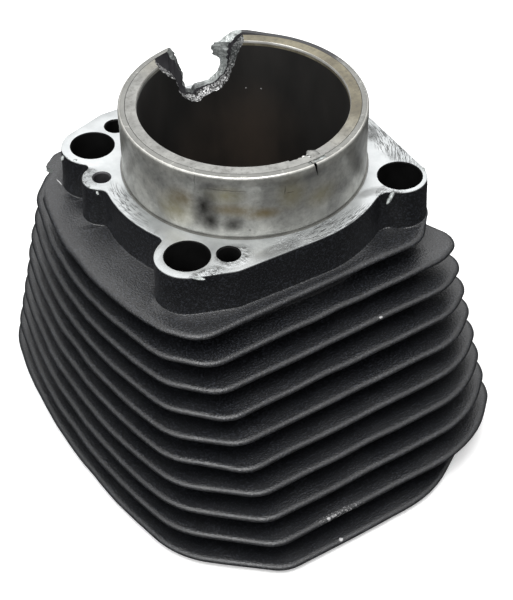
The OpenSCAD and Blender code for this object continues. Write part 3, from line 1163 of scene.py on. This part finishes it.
def build_liner():
    """The liner's skin, with its break, its chips and the crumbs in them."""
    crumbled = broken_material("broken_iron", **BROKEN_IRON)
    turns = np.radians(np.arange(LINER_SIDES) * 360 / LINER_SIDES)
    # radius, height and the material of the strip on to the next point
    profile = [
        (LINER_R, TOP - 0.5, RIM), (LINER_R - 0.1, TOP, RIM), (BORE_R + 2.5, TOP, RIM),
        # the lead-in at the bore's mouth carries the painted highlight
        (BORE_R + 0.45, TOP, LEAD_IN_HIGHLIGHT), (BORE_R + 0.25, TOP - 0.25, LEAD_IN_HIGHLIGHT), (BORE_R + 0.15, TOP - 1.1, RIM),
        (BORE_R, TOP - 2.2, BORE), (BORE_R, TOP - 32, BORE), (BORE_R, 2, BORE), (BORE_R + 0.6, 0, RIM),
        (LINER_R - 0.3, 0, RIM), (LINER_R, 0.3, RIM), (LINER_R, TOP / 2, RIM),
    ]
    rings = [
        np.stack([r * np.cos(turns), r * np.sin(turns), np.full_like(turns, z)], axis=1)
        for r, z, _ in reversed(profile)
    ]
    # the rings run back through the profile, so a strip has the material of the point at its far side
    kinds = [kind for _, _, kind in profile[-2::-1]] + [profile[-1][2]]
    materials = [iron_material(), bore_material(), crumbled, highlight_material()]
    obj = skin("cylinder_liner_skin", rings, kinds, materials)
    solids = [break_solid(BORE_R, LINER_R, 0.0, LINER_SHARE, CRUMBLED)]
    solids += [sector(*chip, CRUMBLED) for chip in LINER_CHIPS]
    combine(obj, solids, "liner_cuts")
    combine(obj, [lump(*crumb) for crumb in CRUMBS], "liner_crumbs", "UNION")
    finish_shading(obj)
    return obj


# ---------------- stage
CAMERA_AT = Vector((-0.30342, -0.54393, 0.60483))
CAMERA_LOOKS = Vector((0.36759, 0.64839, -0.66668))
CAMERA_ROLL = -0.84
LENS = 109.74
SENSOR = 36
FLOOR_Z = -0.0003
ROOM_R = 4
ROOM_H = 6
FLOOR_COLOUR = grey(0.9)
FLOOR_ROUGHNESS = 0.9
FLOOR_GLOW = 0.3
ROUND_SIDES = 96
# The studio's brightness rises between these heights of direction, from its lower to its upper level
SKY_RISE = (0.1, 0.75)
SKY_LEVELS = (0.05, 1.15)
# Softboxes: name, place (m), size (m) and power (W), all aimed at the object
LIGHTS_LOOK = (0, 0, 0.1)
SOFTBOXES = [
    ("overhead", (-0.25, -0.4, 1.3), (0.7, 0.7), 10),
    ("back", (0.55, 1.0, 1.15), (1.5, 1.0), 5),
    ("left", (-1.2, -0.1, 0.9), (0.8, 0.8), 4),
]


def build_camera():
    data = bpy.data.cameras.new("camera")
    data.lens = LENS
    data.sensor_width = SENSOR
    camera = bpy.data.objects.new("camera", data)
    bpy.context.scene.collection.objects.link(camera)
    look = CAMERA_LOOKS.normalized()
    level = look.cross(Vector((0, 0, 1))).normalized()
    right = Matrix.Rotation(math.radians(-CAMERA_ROLL), 3, look) @ level
    up = right.cross(look)
    axes = Matrix((right, up, -look)).transposed()
    camera.matrix_world = Matrix.Translation(CAMERA_AT) @ axes.to_4x4()
    bpy.context.scene.camera = camera


def softbox(name, at, size, power):
    data = bpy.data.lights.new(name, "AREA")
    data.shape = "RECTANGLE"
    data.size, data.size_y = size
    data.energy = power
    light = bpy.data.objects.new(name, data)
    bpy.context.scene.collection.objects.link(light)
    light.location = at
    light.rotation_euler = (Vector(LIGHTS_LOOK) - Vector(at)).to_track_quat("-Z", "Y").to_euler()


def build_floor():
    """A pale floor and a pale wall round it. The metal reflects the studio's own light and not these."""
    material, _, shader = new_material("pale_floor")
    shader.inputs["Base Color"].default_value = FLOOR_COLOUR
    shader.inputs["Roughness"].default_value = FLOOR_ROUGHNESS
    shader.inputs["Emission Color"].default_value = grey(1)
    shader.inputs["Emission Strength"].default_value = FLOOR_GLOW
    bpy.ops.mesh.primitive_circle_add(
        vertices=ROUND_SIDES, radius=ROOM_R, fill_type="NGON", location=(0, 0, FLOOR_Z))
    floor = bpy.context.object
    floor.name = "floor"
    bpy.ops.mesh.primitive_cylinder_add(
        vertices=ROUND_SIDES, radius=ROOM_R, depth=ROOM_H, end_fill_type="NOTHING",
        location=(0, 0, ROOM_H / 2))
    wall = bpy.context.object
    wall.name = "backdrop"
    wall.visible_shadow = False
    for piece in (floor, wall):
        piece.data.materials.append(material)
        piece.visible_diffuse = False
        piece.visible_glossy = False


def build_light():
    """A studio that is dark below and bright overhead, with softboxes above, behind and to the left."""
    world = bpy.data.worlds.new("studio")
    world.use_nodes = True
    tree = world.node_tree
    direction = add(tree, "TexCoord").outputs["Generated"]
    height = parts_of(tree, direction)["Z"]
    level = remap(tree, height, *SKY_RISE, *SKY_LEVELS)
    tree.links.new(level, tree.nodes["Background"].inputs["Strength"])
    tree.nodes["Background"].inputs["Color"].default_value = grey(1)
    bpy.context.scene.world = world
    for settings in SOFTBOXES:
        softbox(*settings)


build_camera()
casting_skin = build_casting()
liner_skin = build_liner()
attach(casting_skin, "root")
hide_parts("barrel_casting")
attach(liner_skin, "root")
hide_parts("cylinder_liner")
build_floor()
build_light()
bpy.context.scene.view_settings.view_transform = "Standard"

bpy.context.view_layer.update()
